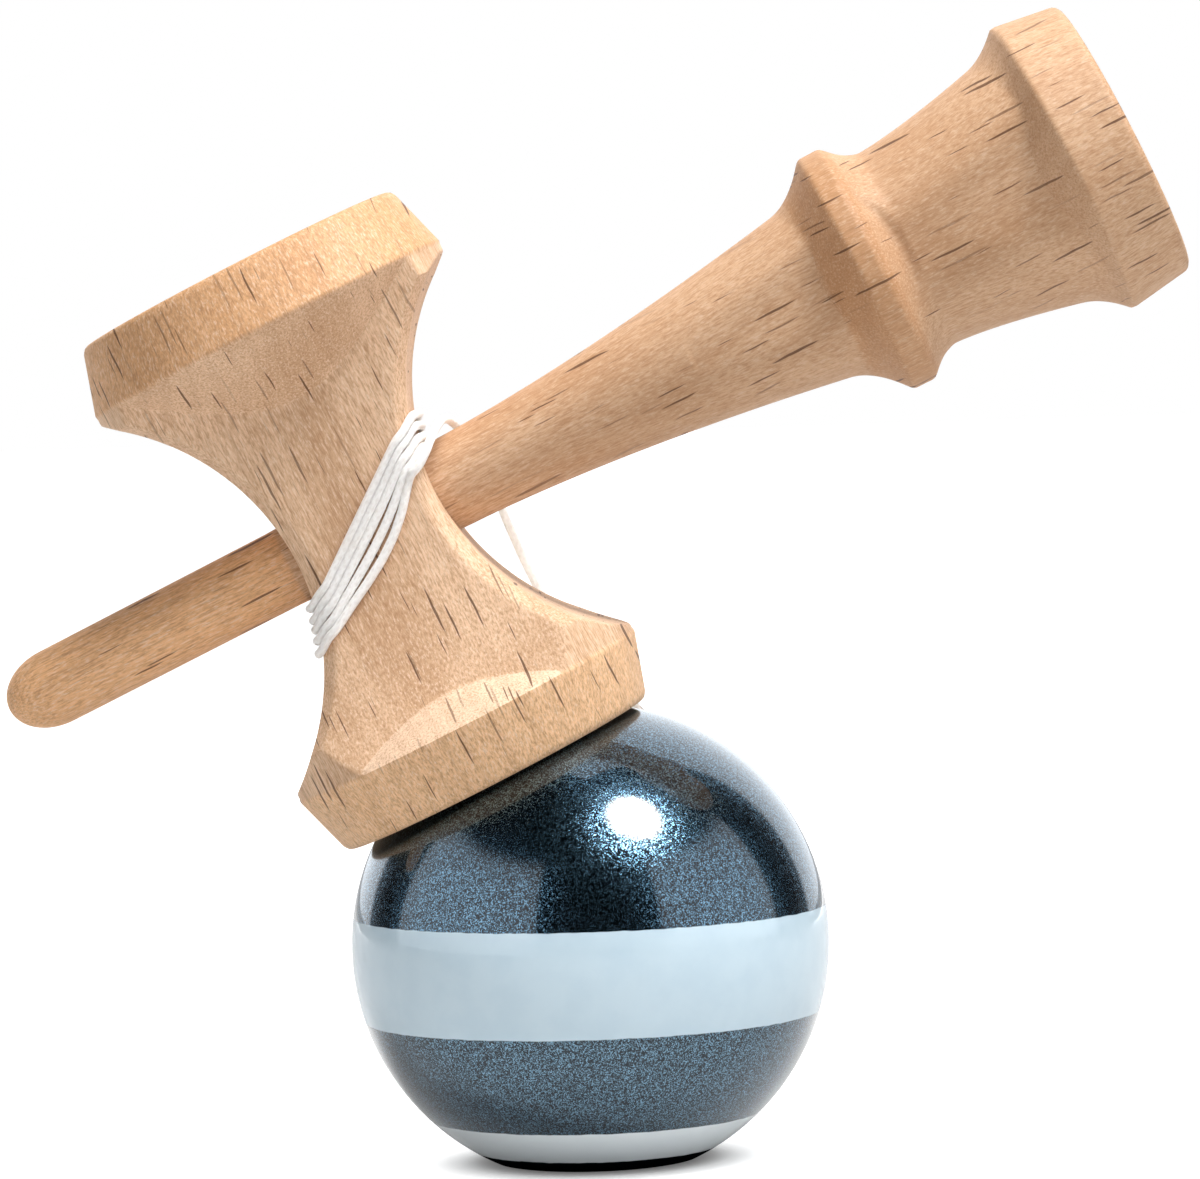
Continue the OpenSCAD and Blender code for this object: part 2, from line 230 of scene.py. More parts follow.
# String: four and a half turns round the waist, then a free stretch over the shaft and down behind the spool.
# That stretch goes over the shaft and into the ball as the solid does, and hangs further back in between, to
# clear the small cup's rim when the handle lifts
cord = {"radius": 0.57, "leadRadius": 0.55, "sides": 14, "top": 2.5, "step": 1.32, "rise": 0.84, "stray": 0.12,
        "turns": 4, "offset": 0.62, "bulge": (0, 0.12, 0.3, 0.75, 1.5), "bulgeWay": (0.64, -0.77),
        "holeK": -4.2, "rootN": 11, "knotRadius": 0.5, "knotSize": 0.4, "knotSides": 10, "knotZ": 8.4,
        "kenKnotN": -3.01, "taperSteps": 24}
cornerSteps, turnSteps = 3, 24  # points round each of the waist's eight corners, and round a turn


def flatK(c):
    return math.sqrt(bodyR(c) ** 2 - bodyN(c) ** 2)


def sideN(c):
    return math.sqrt(bodyR(c) ** 2 - bodyW(c) ** 2)


def windPoint(j):
    v = (j // cornerSteps) % 8
    side = -1 if v < 4 else 1
    back = 1 if v < 2 or v > 5 else -1
    flat = v in (0, 3, 4, 7)
    reach = flatK(0) if flat else float(bodyW(0))
    c = cord["top"] - cord["step"] * j / turnSteps + cord["rise"] * side * reach
    c += cord["stray"] * math.sin(2.1 * (j // turnSteps) + 1.3 * v)  # no turn lies quite like the next
    a = math.radians(90 + 45 * v + 22.5 * (j % cornerSteps))
    k, n = (flatK(c), float(bodyN(c))) if flat else (float(bodyW(c)), sideN(c))
    return (side * k + cord["offset"] * math.cos(a), back * n + cord["offset"] * math.sin(a), c)


# Each pass over the front sags a little more than the one before it
def frontPass(turn, first, last):
    points = []
    for t in (0.2, 0.35, 0.5, 0.65, 0.8):
        sag = cord["bulge"][turn] * math.sin(math.pi * t ** 1.3)
        k = first[0] + (last[0] - first[0]) * t + cord["bulgeWay"][0] * sag
        c = first[2] + (last[2] - first[2]) * t + cord["bulgeWay"][1] * sag
        points.append((k, -float(bodyN(c)) - cord["offset"], c))
    return points


windPath = [(cord["holeK"], n, 0) for n in (cord["kenKnotN"] + 1.2, 4, cord["rootN"], cord["rootN"] + 1)]
for j in range(turnSteps * cord["turns"] + turnSteps // 2 + 1):
    if j % turnSteps == turnSteps // 2:
        windPath += frontPass(j // turnSteps, windPoint(j - 1), windPoint(j))
    windPath.append(windPoint(j))
windEnd = windPath[-1]
leadPath = [
    windEnd, (windEnd[0] + 0.5, windEnd[1] - 0.36, windEnd[2] + 0.4), (9.4, -12.2, 3.6),
    (11.4, -11.6, 5.2), (12.6, -9.2, 6.4), (13.6, -6.4, 7.2), (14.3, -2.8, 7.6), (14.9, 1, 7.4),
    (15.3, 4.4, 6.3), (15.6, 7.3, 3.4), (15.7, 10.6, 0), (15.5, 14.4, -4), (15, 18, -8),
    (14.6, 20.5, -13), (14.5, 21.3, -18), (14.6, 21.3, -22.5), (15.1, 20.9, -26.5), (16, 20, -29.5),
    (17.3, 18.8, -32.4), (18.4, 17.3, -35.2), (19.2, 15, -37.2), (19.4, 12.9, -37.9), (18.8, 11.5, -37.4),
    (17.9, 10.8, -36.7), (17.1, 10.2, -36), (16.8, 8, -34.5), (16.4, 5.6, -33), (16, 3.4, -31.9),
    (15.45, 1.37, -31.5), (14.95, -0.3, -31.1)]
leadPath += [toSpool((0, 0, z)) for z in (31.25, 30.25, 24, 18, cord["knotZ"] + 1)]
joinAt, splitAt, blendAt = 8, 16, 25  # where its cords join, and where the lower one's bend ends


def evenPath(points, step, smooth):
    points = np.array(points, float)
    lengths = np.concatenate([[0], np.cumsum(np.linalg.norm(np.diff(points, axis=0), axis=1))])
    count = max(8, int(round(lengths[-1] / step)))
    at = np.linspace(0, lengths[-1], count + 1)
    even = np.stack([np.interp(at, lengths, points[:, i]) for i in range(3)], 1)
    for _ in range(smooth):
        even[1:-1] = even[1:-1] / 2 + (even[:-2] + even[2:]) / 4
    return np.array([toWorld(p) for p in even])


def tubeObject(name, path, radii, sides, closed=False):
    ways = np.gradient(path, axis=0)
    if closed:
        ways = np.roll(path, -1, axis=0) - np.roll(path, 1, axis=0)
    ways /= np.linalg.norm(ways, axis=1)[:, None]
    u = np.cross(ways[0], [0.3, 0.1, 1])
    points = []
    for p, way, r in zip(path, ways, radii):
        u = u - way * (u @ way)
        u /= np.linalg.norm(u)
        v = np.cross(way, u)
        for j in range(sides):
            a = 2 * math.pi * j / sides
            points.append(tuple(p + r * (math.cos(a) * u + math.sin(a) * v)))
    count = len(path)
    faces, spots = [], []
    along = np.concatenate([[0], np.cumsum(np.linalg.norm(np.diff(path, axis=0), axis=1))]) * 1000
    for i in range(count if closed else count - 1):
        n = (i + 1) % count
        far = along[n] if n else along[-1] * (1 + 1 / count)
        for j in range(sides):
            k = (j + 1) % sides
            faces.append((i * sides + j, i * sides + k, n * sides + k, n * sides + j))
            left, right = j / sides, (j + 1) / sides
            spots += [(left, along[i]), (right, along[i]), (right, far), (left, far)]
    if not closed:
        faces += [tuple(range(sides))[::-1], tuple(range((count - 1) * sides, count * sides))]
        spots += [(0.5, 0)] * sides + [(0.5, along[-1])] * sides
    mesh = bpy.data.meshes.new(name)
    mesh.from_pydata(points, [], faces)
    uv = mesh.uv_layers.new(name="cord")  # u goes round the string, v is the millimetres along it
    uv.data.foreach_set("uv", np.array(spots, np.float32).ravel())
    mesh.polygons.foreach_set("use_smooth", [len(face) == 4 for face in faces])
    mesh.update()
    return addObject(name, mesh)


def makeStrings():
    thick, thin = cord["radius"] / 1000, cord["leadRadius"] / 1000
    wound = evenPath(windPath + leadPath[1:joinAt + 1], 0.5, 3)
    upper = evenPath(leadPath[joinAt:splitAt + 1], 0.5, 4)
    lower = evenPath(leadPath[splitAt:], 0.4, 5)[::-1]
    taper = np.interp(np.arange(len(upper)), [0, cord["taperSteps"]], [thick, thin])
    strings = {"string_wound": tubeObject("string_wound", wound, np.full(len(wound), thick), cord["sides"]),
               "string_upper": tubeObject("string_upper", upper, taper, cord["sides"]),
               "string_lower": tubeObject("string_lower", lower, np.full(len(lower), thin), cord["sides"])}
    t = np.linspace(0, 2 * math.pi, 90, endpoint=False)
    trefoil = [(2 + np.cos(3 * t)) * np.cos(2 * t), (2 + np.cos(3 * t)) * np.sin(2 * t), np.sin(3 * t) * 1.5]
    trefoil = cord["knotSize"] * np.stack(trefoil, 1)
    under = (trefoil + [0, 0, cord["knotZ"]]) / 1000
    inside = np.array([toWorld((p[0] + cord["holeK"], p[2] + cord["kenKnotN"], p[1])) for p in trefoil])
    for name, path in (("knot_in_ball", under), ("knot_in_handle", inside)):
        radii = np.full(len(path), cord["knotRadius"] / 1000)
        strings[name] = tubeObject(name, path, radii, cord["knotSides"], True)
    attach(strings["string_wound"], "ken")
    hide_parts("string_winding", "string_root")
    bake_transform(strings["string_upper"])
    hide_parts("string_lead")
    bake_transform(strings["string_lower"])
    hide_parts("string_in_tama")
    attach(strings["knot_in_ball"], "bead")
    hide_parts("bead_knot")
    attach(strings["knot_in_handle"], "ken")
    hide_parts("ken_knot")
    return strings


strings = makeStrings()
print("strings made")


# Spool: rims, shoulders and dishes
def cupRim(c, edge, rimR, mouthR, height, rise):
    band = rimR + (mouthR - rimR) * (c - edge) / (height - spool["chamfer"] - edge)
    r = softMin(rimR - (edge - c) * rise, band, spool["rimRound"])
    return softMin(r, mouthR - (c - height + spool["chamfer"]), spool["edgeRound"])


def spoolRadius(c, angles):
    cosA, sinA = np.maximum(np.abs(np.cos(angles)), 1e-4), np.maximum(np.abs(np.sin(angles)), 1e-4)
    edge = rimBigC if c > 0 else rimSmallC
    if c > 0:
        rim = cupRim(c, edge, spool["bigRim"], spool["bigMouth"], spool["bigH"], shoulderRise)
    else:
        rim = cupRim(-c, edge, spool["smallRim"], spool["smallMouth"], spool["smallH"], smallRise)
    rim = np.full(len(angles), rim)
    if abs(c) > edge:
        return rim
    body = softMin(bodyW(c) / cosA, bodyN(c) / sinA, spool["edgeRound"])
    body = softMin(body, bodyR(c, 0.18), spool["edgeRound"])
    return softMax(body, rim, spool["crease"])


def dishProfile(mouthR, lip, depth, side, mouth, count=26):
    lipR = mouthR - lip
    r = arcRadius(depth, lipR)
    rows = [(mouthR - spool["chamfer"] - 0.15, mouth)]
    lipRound = ((0.35, 0), (0.12, 0.06), (-0.06, 0.24))
    rows += [(lipR + out, mouth - side * down) for out, down in lipRound]
    for i in range(1, count + 1):
        s = (lipR - 0.2) * (1 - i / count)
        rows.append((s, mouth + side * (r - depth - math.sqrt(r * r - s * s))))
    return rows


def makeSpool():
    s = spool
    bm = bmesh.new()
    heights = np.arange(-s["smallH"] + 0.12, s["bigH"] - 0.1, s["rowStep"])
    turnOnLathe(bm, [(1, c) for c in heights], s["columns"])
    carveBlank(bm, spoolRadius)
    small = dishProfile(s["smallMouth"], s["smallLip"], s["smallDish"], -1, -s["smallH"])
    big = dishProfile(s["bigMouth"], s["bigLip"], s["bigDish"], 1, s["bigH"])
    turnOnLathe(bm, small, s["columns"])
    turnOnLathe(bm, big, s["columns"])
    bridgeRim(bm, -1)
    bridgeRim(bm, 1)
    obj = pieceFrom(bm, "spool", onSeat, 60)
    reach = handle["taperLen"] + 14  # the tapered hole for the handle runs out on both sides
    slope = (handle["taperBig"] - handle["taperSmall"]) / (2 * handle["taperLen"])
    middle = (handle["taperBig"] + handle["taperSmall"]) / 2 + s["boreRoom"]
    profile = [(0, -reach), (middle - slope * reach, -reach), (middle + slope * reach, reach), (0, reach)]
    alongHandle = Matrix(((0, 0, 1), (1, 0, 0), (0, 1, 0))).to_4x4()
    cutAway(obj, turnedPiece("cutter", profile, s["boreColumns"], onSeat @ alongHandle))
    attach(obj, "ken")
    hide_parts("sarado")
    return obj


# Handle: its lengths run along k from the crossing, with the spike at the left and the base cup at the right
handle = {"spikeLen": 50.9, "spikeR": 4.85, "tipLen": 6.6, "taperLen": 12.1, "taperSmall": 4.95, "taperBig": 5.8,
          "ringAt": 68.7, "ringW": 3, "ringR": 16.1, "shaftR": 11.7, "neckR": 13.35, "neckEndR": 17,
          "baseAt": 106.3, "baseRim": 19.65, "baseMouth": 18.5, "baseBand": 8.5, "baseLip": 1.6, "baseDish": 9,
          "flat": 0.5, "flatCut": 0.8, "flatRound": 0.6, "crease": 0.16, "fillet": 3.2, "ringSoft": 1.2,
          "rimRound": 0.6, "columns": 168, "rowStep": 0.3, "tipRows": 18, "knotPocketR": 2.3, "stringHoleR": 0.9}
ringFoot = handle["ringAt"] - (handle["ringR"] - handle["shaftR"]) / shoulderRise
ringEnd = handle["ringAt"] + handle["ringW"]
neckFoot = ringEnd + (handle["ringR"] - handle["neckR"]) * 1.56
baseEdge = handle["baseAt"] - handle["baseBand"]
neckEnd = baseEdge - (handle["baseRim"] - handle["neckEndR"]) / shoulderRise
flatStart = ringFoot * 0.7


# Radius of the handle as it comes off the lathe
def turnedRadius(k):
    h = handle
    tipEnd = h["tipLen"] - h["spikeLen"]
    if k < tipEnd:
        s = 1 - (k + h["spikeLen"]) / h["tipLen"]
        return h["spikeR"] * math.sqrt(max(0, 1 - s * s))
    if k < -h["taperLen"]:
        return h["spikeR"] + (h["taperSmall"] - h["spikeR"]) * (k - tipEnd) / (-h["taperLen"] - tipEnd)
    if k < h["taperLen"]:
        return h["taperSmall"] + (h["taperBig"] - h["taperSmall"]) * (k + h["taperLen"]) / (2 * h["taperLen"])
    if k < h["ringAt"]:
        s = (k - h["taperLen"]) / (ringFoot - h["taperLen"])
        return h["taperBig"] + (h["shaftR"] - h["taperBig"]) * s ** 1.6
    if k < ringEnd:
        return h["ringR"] - h["flat"]
    if k < neckFoot:
        s = (k - ringEnd) / (neckFoot - ringEnd)
        return h["neckR"] + (h["ringR"] - h["flat"] - h["neckR"]) * (1 - s) ** 1.5
    s = (k - neckFoot) / (neckEnd - neckFoot)
    return h["neckR"] + (h["neckEndR"] - h["neckR"]) * s ** 1.4


# The same with the flats front and back, the ring, the base rim and the fillets beside them
def handleRadius(k, angles):
    h = handle
    r = np.full(len(angles), turnedRadius(k))
    if k > flatStart:
        depths = [h["shaftR"] * 0.7 + h["flat"], h["shaftR"] - 1.2 * h["flat"] - h["flatCut"],
                  h["neckR"] - h["flat"], h["neckEndR"] - 2.4 * h["flat"] - h["flatCut"]]
        flat = np.interp(k, [flatStart, h["ringAt"], neckFoot, baseEdge], depths)
        r = softMin(r, flat / np.maximum(np.abs(np.sin(angles)), 1e-4), h["flatRound"])
    ring = softMin(h["ringR"], h["ringR"] - (h["ringAt"] - k) * shoulderRise, h["rimRound"])
    ring = softMin(ring, h["ringR"] - (k - ringEnd) * shoulderRise, h["rimRound"] * 1.6)
    crease = h["crease"] + h["fillet"] * np.cos(angles) ** 4
    soft = np.interp(k, [h["ringAt"] + 1, ringEnd], [h["crease"], h["ringSoft"]])
    r = softMax(r, np.full(len(angles), ring), crease if k < h["ringAt"] else soft)
    band = h["baseRim"] + (h["baseMouth"] - h["baseRim"]) * (k - baseEdge) / (h["baseBand"] - spool["chamfer"])
    rim = softMin(h["baseRim"] - (baseEdge - k) * shoulderRise, band, h["rimRound"])
    rim = softMin(rim, h["baseMouth"] - (k - h["baseAt"] + spool["chamfer"]), spool["edgeRound"])
    rim = np.full(len(angles), rim)
    return rim if k > baseEdge else softMax(r, rim, crease)


def makeHandle():
    h = handle
    start = -h["spikeLen"]
    quarter = math.pi / 2 / h["tipRows"]
    tip = [start + h["tipLen"] * (1 - math.cos(quarter * i)) for i in range(1, h["tipRows"])]
    places = tip + list(np.arange(start + h["tipLen"], h["baseAt"] - 0.1, h["rowStep"]))
    bm = bmesh.new()
    turnOnLathe(bm, [(0, start)] + [(1, k) for k in places], h["columns"])
    carveBlank(bm, handleRadius)
    turnOnLathe(bm, dishProfile(h["baseMouth"], h["baseLip"], h["baseDish"], 1, h["baseAt"]), h["columns"])
    bridgeRim(bm, 1)
    obj = pieceFrom(bm, "handle", onSeat @ Matrix.Rotation(math.radians(90), 4, "Y"), 60)
    # The string's hole runs from the back to a pocket for its knot at the front
    wide, narrow = h["knotPocketR"], h["stringHoleR"]
    profile = [(0, -8), (wide, -8), (wide, -1.25), (narrow, -1.25), (narrow, 8), (0, 8)]
    throughHandle = Matrix(((1, 0, 0), (0, 0, 1), (0, 1, 0))).to_4x4()
    throughHandle.translation = (cord["holeK"], 0, 0)
    cutAway(obj, turnedPiece("cutter", profile, 40, onSeat @ throughHandle))
    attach(obj, "ken")
    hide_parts("ken")
    return obj


# Ball, with its spike hole, the chamber for the bead and the string's hole
ball = {"radius": 30, "foot": 27.3, "boreR": 10.5, "boreTop": 5, "bevel": 0.8, "chamberR": 4.6, "chamberH": 13,
        "holeR": 1.7, "holeBevel": 0.9, "columns": 224, "rows": 110, "wideStripe": (-9.0, 4.2),
        "lowStripe": (-25.7, -21.5)}


def arc(radius, first, last, count):
    angles = np.radians(np.linspace(first, last, count + 1))
    return [(radius * math.cos(a), radius * math.sin(a)) for a in angles]


def makeBall():
    b = ball
    top = b["boreTop"] + b["chamberH"]
    lipAngle = math.degrees(math.acos((b["holeR"] + b["holeBevel"]) / b["radius"]))
    footAngle = -math.degrees(math.asin(b["foot"] / b["radius"]))
    footR = math.sqrt(b["radius"] ** 2 - b["foot"] ** 2)
    profile = [(b["holeR"], z) for z in (top, 22, 26, b["radius"] - b["holeBevel"] - 0.2)]
    profile += arc(b["radius"], lipAngle, footAngle + 0.6, b["rows"])
    profile += [(footR - 0.12, -b["foot"] + 0.05), (footR - 0.4, -b["foot"])]
    profile.append((b["boreR"] + b["bevel"], -b["foot"]))
    profile += [(b["boreR"], z) for z in (-b["foot"] + b["bevel"], -20, -12, -4, b["boreTop"] - 0.3)]
    profile += [(r, b["boreTop"]) for r in (b["boreR"] - 0.3, b["chamberR"] + 2, b["chamberR"])]
    profile += [(b["chamberR"], 10), (b["chamberR"], top - 0.3), (b["chamberR"] - 0.3, top)]
    obj = turnedPiece("ball", profile, b["columns"], toMetres, loop=True, sharp=32)
    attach(obj, "tama")
    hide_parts("tama")
    return obj


bead = {"radius": 3.8, "holeR": 1, "z": 13.9, "columns": 48, "rows": 30}


def makeBead():
    r, h = bead["radius"], bead["holeR"]
    edge = math.degrees(math.acos((h + 0.25) / r))
    profile = arc(r, edge, -edge, bead["rows"]) + [(h, -r + 0.35), (h, 0), (h, r - 0.35)]
    place = toMetres @ Matrix.Translation((0, 0, bead["z"]))
    obj = turnedPiece("swivel_bead", profile, bead["columns"], place, loop=True)
    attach(obj, "bead")
    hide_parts("bead")
    return obj


spoolObj = makeSpool()
print("spool made")
handleObj = makeHandle()
print("handle made")
ballObj = makeBall()
beadObj = makeBead()
print("ball and bead made")


# Materials
def linear(hexColor):
    channels = [int(hexColor[i:i + 2], 16) / 255 for i in (1, 3, 5)]
    return tuple(c / 12.92 if c <= 0.04045 else ((c + 0.055) / 1.055) ** 2.4 for c in channels) + (1,)


# Adds a node with its settings and links, and gives back one of its outputs, or all of them where out is None
def node(tree, kind, inputs=(), out=0, **settings):
    made = tree.nodes.new("ShaderNode" + kind)
    for key, value in settings.items():
        setattr(made, key, value)
    for key, value in inputs.items() if isinstance(inputs, dict) else enumerate(inputs):
        if isinstance(value, bpy.types.NodeSocket):
            tree.links.new(value, made.inputs[key])
        else:
            made.inputs[key].default_value = value
    return made.outputs if out is None else made.outputs[out]


def newMaterial(name):
    mat = bpy.data.materials.new(name)
    mat.use_nodes = True
    mat.node_tree.nodes.clear()
    return mat, partial(node, mat.node_tree)


smooth = {"interpolation_type": "SMOOTHSTEP"}
colour = {"data_type": "RGBA", "blend_type": "MIX"}

# Beech, turned and sanded, left bare: a matt warm pink-tan with long fibres and short dark ray flecks along
# the grain. Fibres and pores of real beech are under 0.1 mm, and are drawn two to three times as coarse to show
# The shoulder colour is painted light, laid on the small cup's upward-facing shoulder
beech = {"light": "#e8c4a2", "mid": "#cfa885", "dark": "#a87a53", "pale": "#f6dfc6", "shoulder": "#ffe3c8",
         "fleck": "#5a3720", "fleckLong": 3.6, "fleckThin": 0.17, "fleckCell": 0.3, "ringGap": 2.992,
         "ringWander": 9, "ringHeart": (37, 22), "roughness": 0.6, "bump": 0.1}
figureSizes = {"broad": (40, 11.11, 2, 0.5), "wander": (50, 20, 1, 0.5), "fibres": (3.571, 0.2381, 4, 0.62),
               "pores": (2, 0.2, 3, 0.7), "speck": (1.25, 0.2632, 3, 0.7)}  # long, thin, detail, roughness
toneLayers = [("rings", -0.4, 1, 0.14, "dark"), ("fibres", 0.42, 0.7, 0.6, "dark"),
              ("pores", 0.54, 0.72, 0.5, "dark"), ("speck", 0.5, 0.32, 0.5, "pale"),
              ("speck", 0.52, 0.68, 0.5, "dark")]  # from, to, amount
# Bands along the spool. The small cup's rim is lighter and warmer: partly a warmer tone, partly painted light
# for the top light it faces away from. The big cup's rim is a deeper orange
spoolTintAndLight = [(-45, -26.8, "#ffcf9c", 0.6), (27.5, 45, "#d8995a", 0.55)]  # from, to, along the grain; tint, and painted light on the small rim
# Bands along the handle: the spike is lighter and warmer; the ring is darker and warmer, partly a warmer tone
# and partly painted shade on the ring's shoulder, which faces down
handleTintAndShade = [(-60, -11, "#ffc185", 0.6), (64.6, 72.5, "#c98f5c", 0.5)]


def makeBeech(name, alongZ, shift, toneAndLightBands=(), shade=(0, 0)):
    mat, add = newMaterial(name)
    own = add("Mapping", {"Vector": add("TexCoord", out="Object"), "Rotation": (0, tilt, 0),
                          "Scale": (1000,) * 3, "Location": (-seat["along"], -seat["back"], -seat["up"])})
    parts = add("SeparateXYZ", (own,), None)
    along, across = (parts["Z"], parts["X"]) if alongZ else (parts["X"], parts["Z"])
    grain = add("CombineXYZ", [add("Math", (part, by), operation="ADD")
                               for part, by in zip((along, across, parts["Y"]), shift)])
    figure = {}
    for key, (long, thin, detail, rough) in figureSizes.items():
        at = add("VectorMath", (grain, (1 / long, 1 / thin, 1 / thin)), operation="MULTIPLY")
        figure[key] = add("TexNoise", {"Vector": at, "Scale": 1, "Detail": detail, "Roughness": rough})
    # Growth rings round a heart outside the piece
    spread = add("SeparateXYZ", (grain,), None)
    heart = [add("Math", (spread[i + 1], beech["ringHeart"][i]), operation="ADD") for i in (0, 1)]
    away = add("VectorMath", (add("CombineXYZ", (0.0, *heart)),), "Value", operation="LENGTH")
    wander = add("Math", (figure["wander"], beech["ringWander"]), operation="MULTIPLY")
    turns = add("Math", (add("Math", (away, wander), operation="ADD"), 2 * math.pi / beech["ringGap"]),
                operation="MULTIPLY")
    figure["rings"] = add("Math", (turns,), operation="SINE")
    tone = add("Mix", {0: add("MapRange", (figure["broad"], 0.32, 0.7), **smooth), 6: linear(beech["light"]),
                       7: linear(beech["mid"])}, 2, **colour)
    # Bands along the grain: tint, with painted light on the small cup's rim and painted shade on the ring
    for low, high, bandColor, amount in toneAndLightBands:
        warm = add("Math", (add("MapRange", (along, low - 0.4, low + 0.4), **smooth),
                            add("MapRange", (along, high + 0.4, high - 0.4), **smooth)), operation="MULTIPLY")
        warm = add("Math", (warm, amount), operation="MULTIPLY")
        tone = add("Mix", {0: warm, 6: tone, 7: linear(bandColor)}, 2, **colour)
    # The small cup's turned shoulder faces up into the top light, so it is painted paler than the body: painted
    # light
    if alongZ:
        facing = add("Mapping", {"Vector": add("TexCoord", out="Normal"), "Rotation": (0, tilt, 0)},
                     vector_type="VECTOR")
        litShoulder = add("MapRange", (add("SeparateXYZ", (facing,), 2), 0.6, 0.7), **smooth)
        litShoulder = add("Math", (litShoulder, add("MapRange", (along, -10, -14), **smooth)), operation="MULTIPLY")
        front = add("MapRange", (add("Math", (parts["Y"],), operation="ABSOLUTE"), 15.5, 17.5), **smooth)
        litShoulder = add("Math", (litShoulder, front), operation="MULTIPLY")
        litShoulder = add("Math", (litShoulder, 0.6), operation="MULTIPLY")
        tone = add("Mix", {0: litShoulder, 6: tone, 7: linear(beech["shoulder"])}, 2, **colour)
    for key, low, high, amount, layerColor in toneLayers:
        cover = add("MapRange", (figure[key], low, high), **smooth)
        cover = add("Math", (cover, amount), operation="MULTIPLY")
        tone = add("Mix", {0: cover, 6: tone, 7: linear(beech[layerColor])}, 2, **colour)
    deep = add("MapRange", (along, -10.0, 30.0, *shade))  # the handle is darker past the crossing
    tone = add("Mix", {0: deep, 6: tone, 7: linear(beech["dark"])}, 2, **colour)
    # Ray flecks: thin plates along the grain, each cell with its own length and depth
    long, thin = beech["fleckCell"] / beech["fleckLong"], beech["fleckCell"] / beech["fleckThin"]
    bend = add("VectorMath", (grain, (0.3, 0.5, 0.3)), operation="MULTIPLY")
    bend = add("TexNoise", {"Vector": bend, "Scale": 1, "Detail": 1}, 1)
    bend = add("VectorMath", (bend, (0.1, 0.5, 0.1)), operation="MULTIPLY")
    at = add("VectorMath", (grain, (long, thin, long)), operation="MULTIPLY")
    at = add("VectorMath", (at, bend), operation="ADD")
    cells = add("TexVoronoi", {"Vector": at, "Scale": 1, "Randomness": 1}, None, feature="F1")
    pick = add("SeparateColor", (cells["Color"],), None)
    reach = add("MapRange", {"Value": pick[0], "To Min": 0.3 * beech["fleckCell"],
                             "To Max": beech["fleckCell"]})
    fleck = add("Math", (cells["Distance"], reach), operation="SUBTRACT")
    fleck = add("MapRange", (fleck, 0.02, -0.05), **smooth)
    fleck = add("Math", (fleck, add("MapRange", (pick[1], 0, 0.6))), operation="MULTIPLY")
    cover = add("Math", (fleck, 0.85), operation="MULTIPLY")
    tone = add("Mix", {0: cover, 6: tone, 7: linear(beech["fleck"])}, 2, **colour)
    dip = add("Math", (add("Math", (fleck, 0.8), operation="MULTIPLY"),
                       add("Math", (figure["pores"], 0.3), operation="MULTIPLY")), operation="ADD")
    rise = add("Math", (figure["fibres"], 0.5), operation="MULTIPLY")
    height = add("Math", (rise, dip), operation="SUBTRACT")
    bump = add("Bump", {"Height": height, "Strength": 0.5, "Distance": beech["bump"] / 1000})
    rough = add("MapRange", {"Value": figure["fibres"], "To Min": beech["roughness"] - 0.06,
                             "To Max": beech["roughness"] + 0.1})
    shader = add("BsdfPrincipled", {"Base Color": tone, "Normal": bump, "Roughness": rough,
                                    "Specular IOR Level": 0.35})
    add("OutputMaterial", (shader,), None)
    return mat


# Lacquer sprayed on the wooden ball: dark metal-flake blue under a clear gloss coat, which sparkles near a
# light, with plain white stripes and a dull black foot. Real flakes are about 0.05 mm, and are drawn twice as
# coarse to show
lacquer = {"dark": "#0a121b", "flake": "#82adc8", "white": "#c8dde9", "cloud": "#c3d9e6", "floorLitWhite": "#f4fcff",
           "foot": "#05070a", "flakeSize": 0.115, "flakeLean": 0.135, "metallic": 0.97, "roughness": 0.25,
           "plainRoughness": 0.5, "edgeBlur": 0.06, "edgeWaver": 0.25, "coatRoughness": 0.04}


